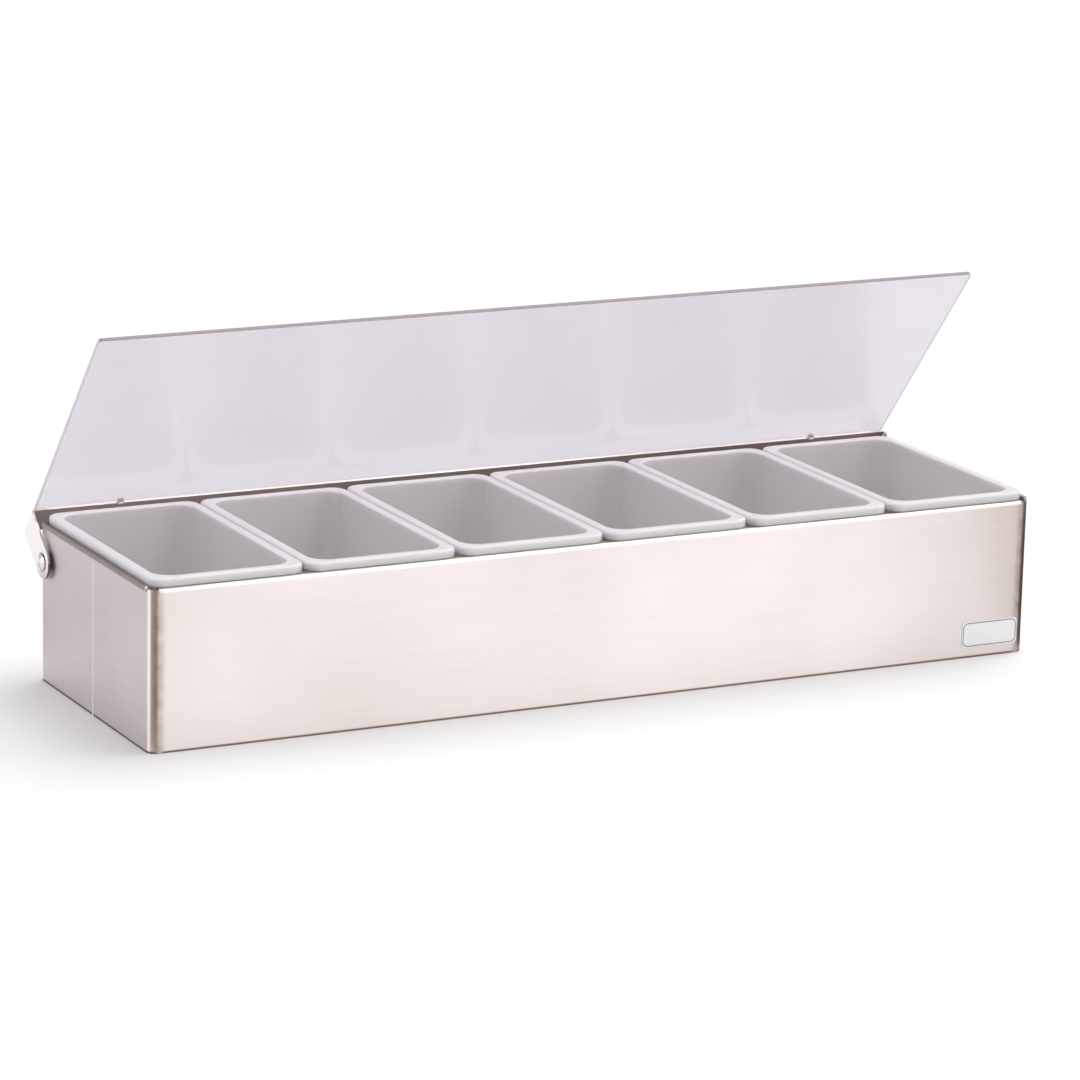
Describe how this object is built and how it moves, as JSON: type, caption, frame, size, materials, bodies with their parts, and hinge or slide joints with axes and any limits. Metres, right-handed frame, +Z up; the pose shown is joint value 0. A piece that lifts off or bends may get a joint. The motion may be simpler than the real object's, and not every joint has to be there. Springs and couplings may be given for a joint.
{
  "type": "condiment caddy",
  "caption": "Long stainless steel condiment caddy with lift-out plastic inserts and one full-length flat lid on a hinged rear strap.",
  "frame": {"origin": "centre of the tub's footprint, on the surface it stands on", "axes": "+X along the tub to the right, +Y to the back where the hinge is, +Z up"},
  "size_m": [0.512, 0.1684, 0.1941],
  "materials": {
    "brushed_stainless": "brushed lengthways, satin",
    "bright_stainless": "fine brushed",
    "rivet_steel": "set rivet, smooth",
    "insert_plastic": "white translucent moulded, semi-gloss",
    "lid_plastic": "clear to milky sheet, smooth",
    "label_stock": "blank white label with a thin dark border"
  },
  "bodies": {
    "tub": {"tub_wrapper": "brushed_stainless", "tub_base": "brushed_stainless", "label_plate": "label_stock", "pivot_rivet_left": "rivet_steel", "pivot_rivet_right": "rivet_steel", "spacer_left": "rivet_steel", "spacer_right": "rivet_steel", "backing_washer_left": "rivet_steel", "backing_washer_right": "rivet_steel"},
    "lid": {"hinge_strap": "bright_stainless", "lid_panel": "lid_plastic"},
    "tray_1": {"insert_1": "insert_plastic"},
    "tray_2": {"insert_2": "insert_plastic"},
    "tray_3": {"insert_3": "insert_plastic"},
    "tray_4": {"insert_4": "insert_plastic"},
    "tray_5": {"insert_5": "insert_plastic"},
    "tray_6": {"insert_6": "insert_plastic"}
  },
  "joints": [
    {"name": "lid_hinge", "type": "hinge", "parent": "tub", "child": "lid", "pos_m": [0, 0.0646, 0.0643], "axis": [-1, 0, 0], "range_deg": [-51.7, 84.8]},
    {"name": "lift_1", "type": "slide", "parent": "tub", "child": "tray_1", "axis": [0, 0, 1], "range_m": [0, 0.0095]},
    {"name": "lift_2", "type": "slide", "parent": "tub", "child": "tray_2", "axis": [0, 0, 1], "range_m": [0, 0.0095]},
    {"name": "lift_3", "type": "slide", "parent": "tub", "child": "tray_3", "axis": [0, 0, 1], "range_m": [0, 0.0095]},
    {"name": "lift_4", "type": "slide", "parent": "tub", "child": "tray_4", "axis": [0, 0, 1], "range_m": [0, 0.0095]},
    {"name": "lift_5", "type": "slide", "parent": "tub", "child": "tray_5", "axis": [0, 0, 1], "range_m": [0, 0.0095]},
    {"name": "lift_6", "type": "slide", "parent": "tub", "child": "tray_6", "axis": [0, 0, 1], "range_m": [0, 0.0095]}
  ]
}
